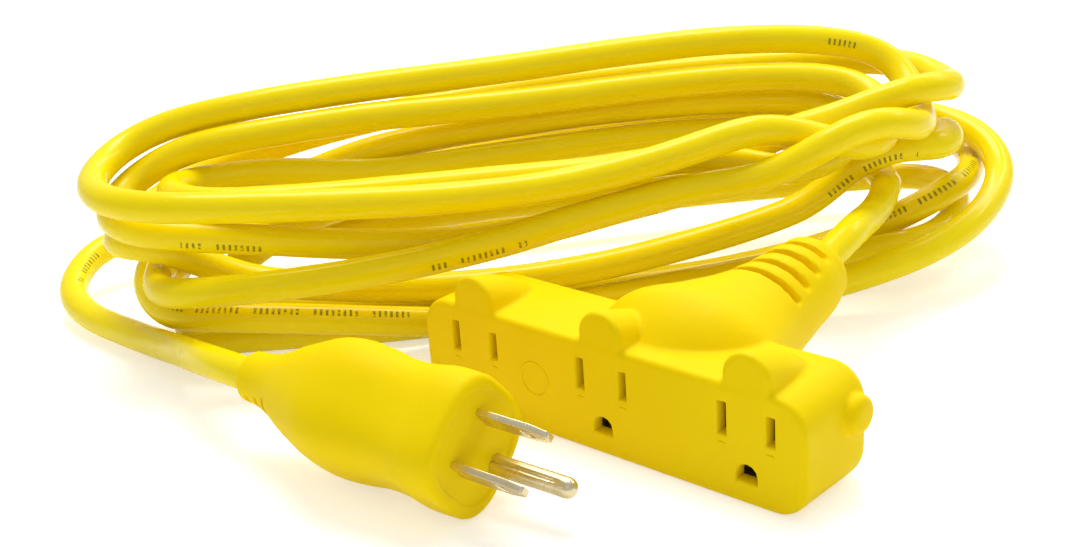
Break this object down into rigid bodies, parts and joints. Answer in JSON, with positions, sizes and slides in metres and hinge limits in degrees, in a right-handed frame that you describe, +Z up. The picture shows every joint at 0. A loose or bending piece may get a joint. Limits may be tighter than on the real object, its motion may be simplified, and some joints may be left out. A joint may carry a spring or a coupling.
{
  "type": "extension cord",
  "caption": "Coiled heavy-duty extension cord with a moulded grounded plug at one end and a rectangular multi-outlet block at the other.",
  "frame": {"origin": "middle of the outlet block's underside, on the floor", "axes": "+Z up; the outlet faces look towards -Y and the block is long in X; the coil lies at an angle beside it"},
  "size_m": [0.2627, 0.2489, 0.0717],
  "materials": {
    "jacket_pvc": "glossy flexible PVC",
    "moulded_pvc": "satin moulded flexible PVC",
    "core_black": "satin PVC insulation",
    "core_white": "satin PVC insulation",
    "core_green": "satin PVC insulation",
    "copper": "bare stranded copper",
    "brass": "bright formed brass",
    "carrier_plastic": "rigid moulded insulator"
  },
  "bodies": {
    "coil": {"coil_jacket": "jacket_pvc", "coil_core_black": "core_black", "coil_core_white": "core_white", "coil_core_green": "core_green"},
    "plug_swing_link": {"swing_link_jacket": "jacket_pvc", "swing_link_core_black": "core_black", "swing_link_core_white": "core_white", "swing_link_core_green": "core_green"},
    "plug_lift_link": {"plug_link_jacket": "jacket_pvc", "plug_link_core_black": "core_black", "plug_link_core_white": "core_white", "plug_link_core_green": "core_green"},
    "plug": {"plug_overmould": "moulded_pvc", "plug_bridge": "carrier_plastic", "blade_hot": "brass", "blade_neutral": "brass", "ground_pin": "brass", "plug_jacket": "jacket_pvc", "plug_core_black": "core_black", "plug_core_white": "core_white", "plug_core_green": "core_green", "plug_copper_black": "copper", "plug_copper_white": "copper", "plug_copper_green": "copper"},
    "outlet_swing_link": {"outlet_link_jacket": "jacket_pvc", "outlet_link_core_black": "core_black", "outlet_link_core_white": "core_white", "outlet_link_core_green": "core_green"},
    "outlet_block": {"outlet_housing": "moulded_pvc", "contact_tray": "carrier_plastic", "contact_cover": "carrier_plastic", "bus_hot": "brass", "bus_neutral": "brass", "bus_ground": "brass", "contact_hot_1": "brass", "contact_hot_2": "brass", "contact_hot_3": "brass", "contact_neutral_1": "brass", "contact_neutral_2": "brass", "contact_neutral_3": "brass", "contact_ground_1": "brass", "contact_ground_2": "brass", "contact_ground_3": "brass", "outlet_jacket": "jacket_pvc", "outlet_core_black": "core_black", "outlet_core_white": "core_white", "outlet_core_green": "core_green", "outlet_copper_black": "copper", "outlet_copper_white": "copper", "outlet_copper_green": "copper"}
  },
  "joints": [
    {"name": "plug_lead_swing", "type": "hinge", "parent": "coil", "child": "plug_swing_link", "pos_m": [-0.12354, -0.0429, 0.00942], "axis": [0, 0, 1], "range_deg": [-28, 5]},
    {"name": "plug_lead_lift", "type": "hinge", "parent": "plug_swing_link", "child": "plug_lift_link", "pos_m": [-0.092, -0.05268, 0.0174], "axis": [-0.2675, -0.9636, 0], "range_deg": [0, 30]},
    {"name": "plug_twist", "type": "hinge", "parent": "plug_lift_link", "child": "plug", "pos_m": [-0.07437, -0.05465, 0.0194], "axis": [0.9944, 0.1015, -0.03], "range_deg": [-40, 40]},
    {"name": "outlet_lead_swing", "type": "hinge", "parent": "coil", "child": "outlet_swing_link", "pos_m": [0.00649, 0.10453, 0.02826], "axis": [0, 0, 1], "range_deg": [0, 25]},
    {"name": "outlet_lead_lift", "type": "hinge", "parent": "outlet_swing_link", "child": "outlet_block", "pos_m": [0.01525, 0.07206, 0.03012], "axis": [-0.96, 0, 0.28], "range_deg": [0, 12]}
  ]
}
